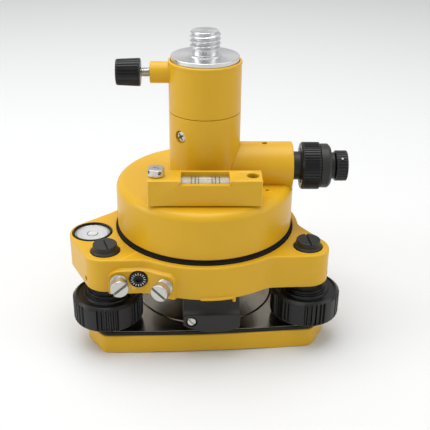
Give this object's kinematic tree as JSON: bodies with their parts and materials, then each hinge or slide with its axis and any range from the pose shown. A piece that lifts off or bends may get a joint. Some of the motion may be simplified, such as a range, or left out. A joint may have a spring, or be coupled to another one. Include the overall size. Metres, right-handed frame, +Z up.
{
  "type": "optical plummet carrier on tribrach",
  "caption": "Yellow tribrach with foot screws, circular level and locking lever, carrying a rotating optical-plummet adapter with plate level, clamp knob and threaded stud.",
  "frame": {"origin": "on the instrument's vertical axis, on the plane the base plate rests on, where the tripod's centre screw enters", "axes": "+Z up along the vertical axis to the stud; +X along the plummet telescope to its eyepiece; +Y away from the plate level's side"},
  "size_m": [0.1521, 0.1415, 0.1646],
  "materials": {
    "yellow_paint": "semi-gloss baked enamel, fine orange peel",
    "black_plastic": "satin moulded",
    "black_metal": "black anodised",
    "rubber": "matt",
    "polished_steel": "polished",
    "aluminium": "turned, satin",
    "brass": "machined",
    "white_enamel": "gloss",
    "optical_glass": "polished"
  },
  "bodies": {
    "base": {"base_plate": "yellow_paint", "base_gasket": "rubber", "spring_plate": "polished_steel", "tripod_bush": "polished_steel", "ball_cup_left": "brass", "ball_cup_right": "brass", "ball_cup_rear": "brass"},
    "foot_screw_left": {"foot_spindle_left": "polished_steel", "foot_knob_left": "black_plastic"},
    "foot_screw_right": {"foot_spindle_right": "polished_steel", "foot_knob_right": "black_plastic"},
    "foot_screw_rear": {"foot_spindle_rear": "polished_steel", "foot_knob_rear": "black_plastic"},
    "head": {"housing": "yellow_paint", "bottom_cover": "black_metal", "level_bezel": "black_metal", "level_cup": "white_enamel", "level_glass": "optical_glass", "pad_socket_screw": "black_metal", "screw_bush_left": "brass", "screw_bush_right": "brass", "screw_bush_rear": "brass", "screw_cap_left": "black_plastic", "screw_cap_right": "black_plastic", "screw_cap_rear": "black_plastic", "bush_set_screw_left": "black_metal", "bush_set_screw_right": "black_metal", "bush_set_screw_rear": "black_metal"},
    "pad_screw_left": {"pad_screw_left": "polished_steel"},
    "pad_screw_right": {"pad_screw_right": "polished_steel"},
    "lever": {"lock_lever": "black_plastic", "clamp_ring": "polished_steel"},
    "lever_lock_screw": {"lever_screw": "polished_steel"},
    "foot_plate": {"foot_plate": "black_metal", "pivot_bush": "brass", "plate_foot_front": "polished_steel", "plate_foot_right": "polished_steel", "plate_foot_left": "polished_steel"},
    "carrier": {"drum": "yellow_paint", "lower_column": "yellow_paint", "upper_column": "yellow_paint", "column_screw_front": "polished_steel", "column_screw_right": "polished_steel", "column_screw_rear": "polished_steel", "level_block": "yellow_paint", "level_vial": "optical_glass", "level_pivot_screw": "polished_steel", "plummet_prism": "optical_glass", "objective_lens": "optical_glass", "reticle": "optical_glass", "eyepiece_barrel": "black_plastic"},
    "stud": {"stud": "aluminium"},
    "clamp_shoe": {"clamp_shoe": "brass"},
    "clamp_knob": {"clamp_knob": "black_plastic", "clamp_screw": "polished_steel"},
    "focus_ring": {"focus_ring": "black_plastic"},
    "focus_cell": {"focus_lens_cell": "black_metal"},
    "eyepiece": {"eyepiece_ring": "black_plastic", "eye_lens": "optical_glass"},
    "capstan_screw": {"capstan_screw": "aluminium"}
  },
  "joints": [
    {"name": "head_tilt", "type": "hinge", "parent": "base", "child": "head", "pos_m": [0, 0, 0.0465], "axis": [0.9991, 0.0427, 0], "range_deg": [-2, 2]},
    {"name": "foot_screw_rear_turn", "type": "hinge", "parent": "base", "child": "foot_screw_rear", "pos_m": [-0.00267, 0.06234, 0.024], "axis": [0, 0, 1], "range_deg": [-1046, 1046]},
    {"name": "foot_screw_left_turn", "type": "hinge", "parent": "base", "child": "foot_screw_left", "pos_m": [-0.05266, -0.03348, 0.024], "axis": [0, 0, 1], "range_deg": [-523, 523]},
    {"name": "foot_screw_right_turn", "type": "hinge", "parent": "base", "child": "foot_screw_right", "pos_m": [0.05532, -0.02886, 0.024], "axis": [0, 0, 1], "range_deg": [-523, 523]},
    {"name": "lever_turn", "type": "hinge", "parent": "head", "child": "lever", "pos_m": [0, 0, 0.038], "axis": [0, 0, 1], "range_deg": [0, 20]},
    {"name": "lever_lock_screw_turn", "type": "hinge", "parent": "lever", "child": "lever_lock_screw", "pos_m": [-0.00707, -0.05235, 0.0245], "axis": [0.0427, -0.9991, 0], "range_deg": [0, 720]},
    {"name": "pad_screw_left_turn", "type": "hinge", "parent": "head", "child": "pad_screw_left", "pos_m": [-0.04492, -0.04736, 0.0454], "axis": [0.1642, -0.9864, 0], "range_deg": [0, 720]},
    {"name": "pad_screw_right_turn", "type": "hinge", "parent": "head", "child": "pad_screw_right", "pos_m": [-0.02044, -0.05102, 0.0454], "axis": [-0.3867, -0.9222, 0], "range_deg": [0, 720]},
    {"name": "foot_plate_lift", "type": "slide", "parent": "head", "child": "foot_plate", "axis": [0, 0, 1], "range_m": [0, 0.025]},
    {"name": "carrier_turn", "type": "hinge", "parent": "foot_plate", "child": "carrier", "pos_m": [0, 0, 0.0586], "axis": [0, 0, 1], "continuous": true},
    {"name": "stud_turn", "type": "hinge", "parent": "carrier", "child": "stud", "pos_m": [0, 0, 0.152], "axis": [0, 0, 1], "continuous": true},
    {"name": "clamp_travel", "type": "slide", "parent": "carrier", "child": "clamp_shoe", "axis": [-1, 0, 0], "range_m": [0, 0.0016]},
    {"name": "clamp_turn", "type": "hinge", "parent": "clamp_shoe", "child": "clamp_knob", "pos_m": [-0.04, 0, 0.1428], "axis": [-1, 0, 0], "range_deg": [0, 720]},
    {"name": "focus_travel", "type": "slide", "parent": "carrier", "child": "focus_cell", "axis": [1, 0, 0], "range_m": [-0.003, 0.003]},
    {"name": "focus_turn", "type": "hinge", "parent": "carrier", "child": "focus_ring", "pos_m": [0.058, 0, 0.0906], "axis": [1, 0, 0], "range_deg": [-150, 150]},
    {"name": "eyepiece_turn", "type": "hinge", "parent": "carrier", "child": "eyepiece", "pos_m": [0.0744, 0, 0.0906], "axis": [1, 0, 0], "range_deg": [-180, 180]},
    {"name": "capstan_turn", "type": "hinge", "parent": "carrier", "child": "capstan_screw", "pos_m": [-0.0248, -0.0323, 0.1013], "axis": [0, 0, 1], "range_deg": [-180, 180]}
  ],
  "couplings": [
    {"joint": "foot_screw_rear_turn", "follows": "head_tilt", "ratio": -522.76},
    {"joint": "foot_screw_left_turn", "follows": "head_tilt", "ratio": 261.38},
    {"joint": "foot_screw_right_turn", "follows": "head_tilt", "ratio": 261.38},
    {"joint": "clamp_turn", "follows": "clamp_travel", "rad_per_m": 7853.9},
    {"joint": "focus_turn", "follows": "focus_travel", "rad_per_m": 872.6}
  ]
}
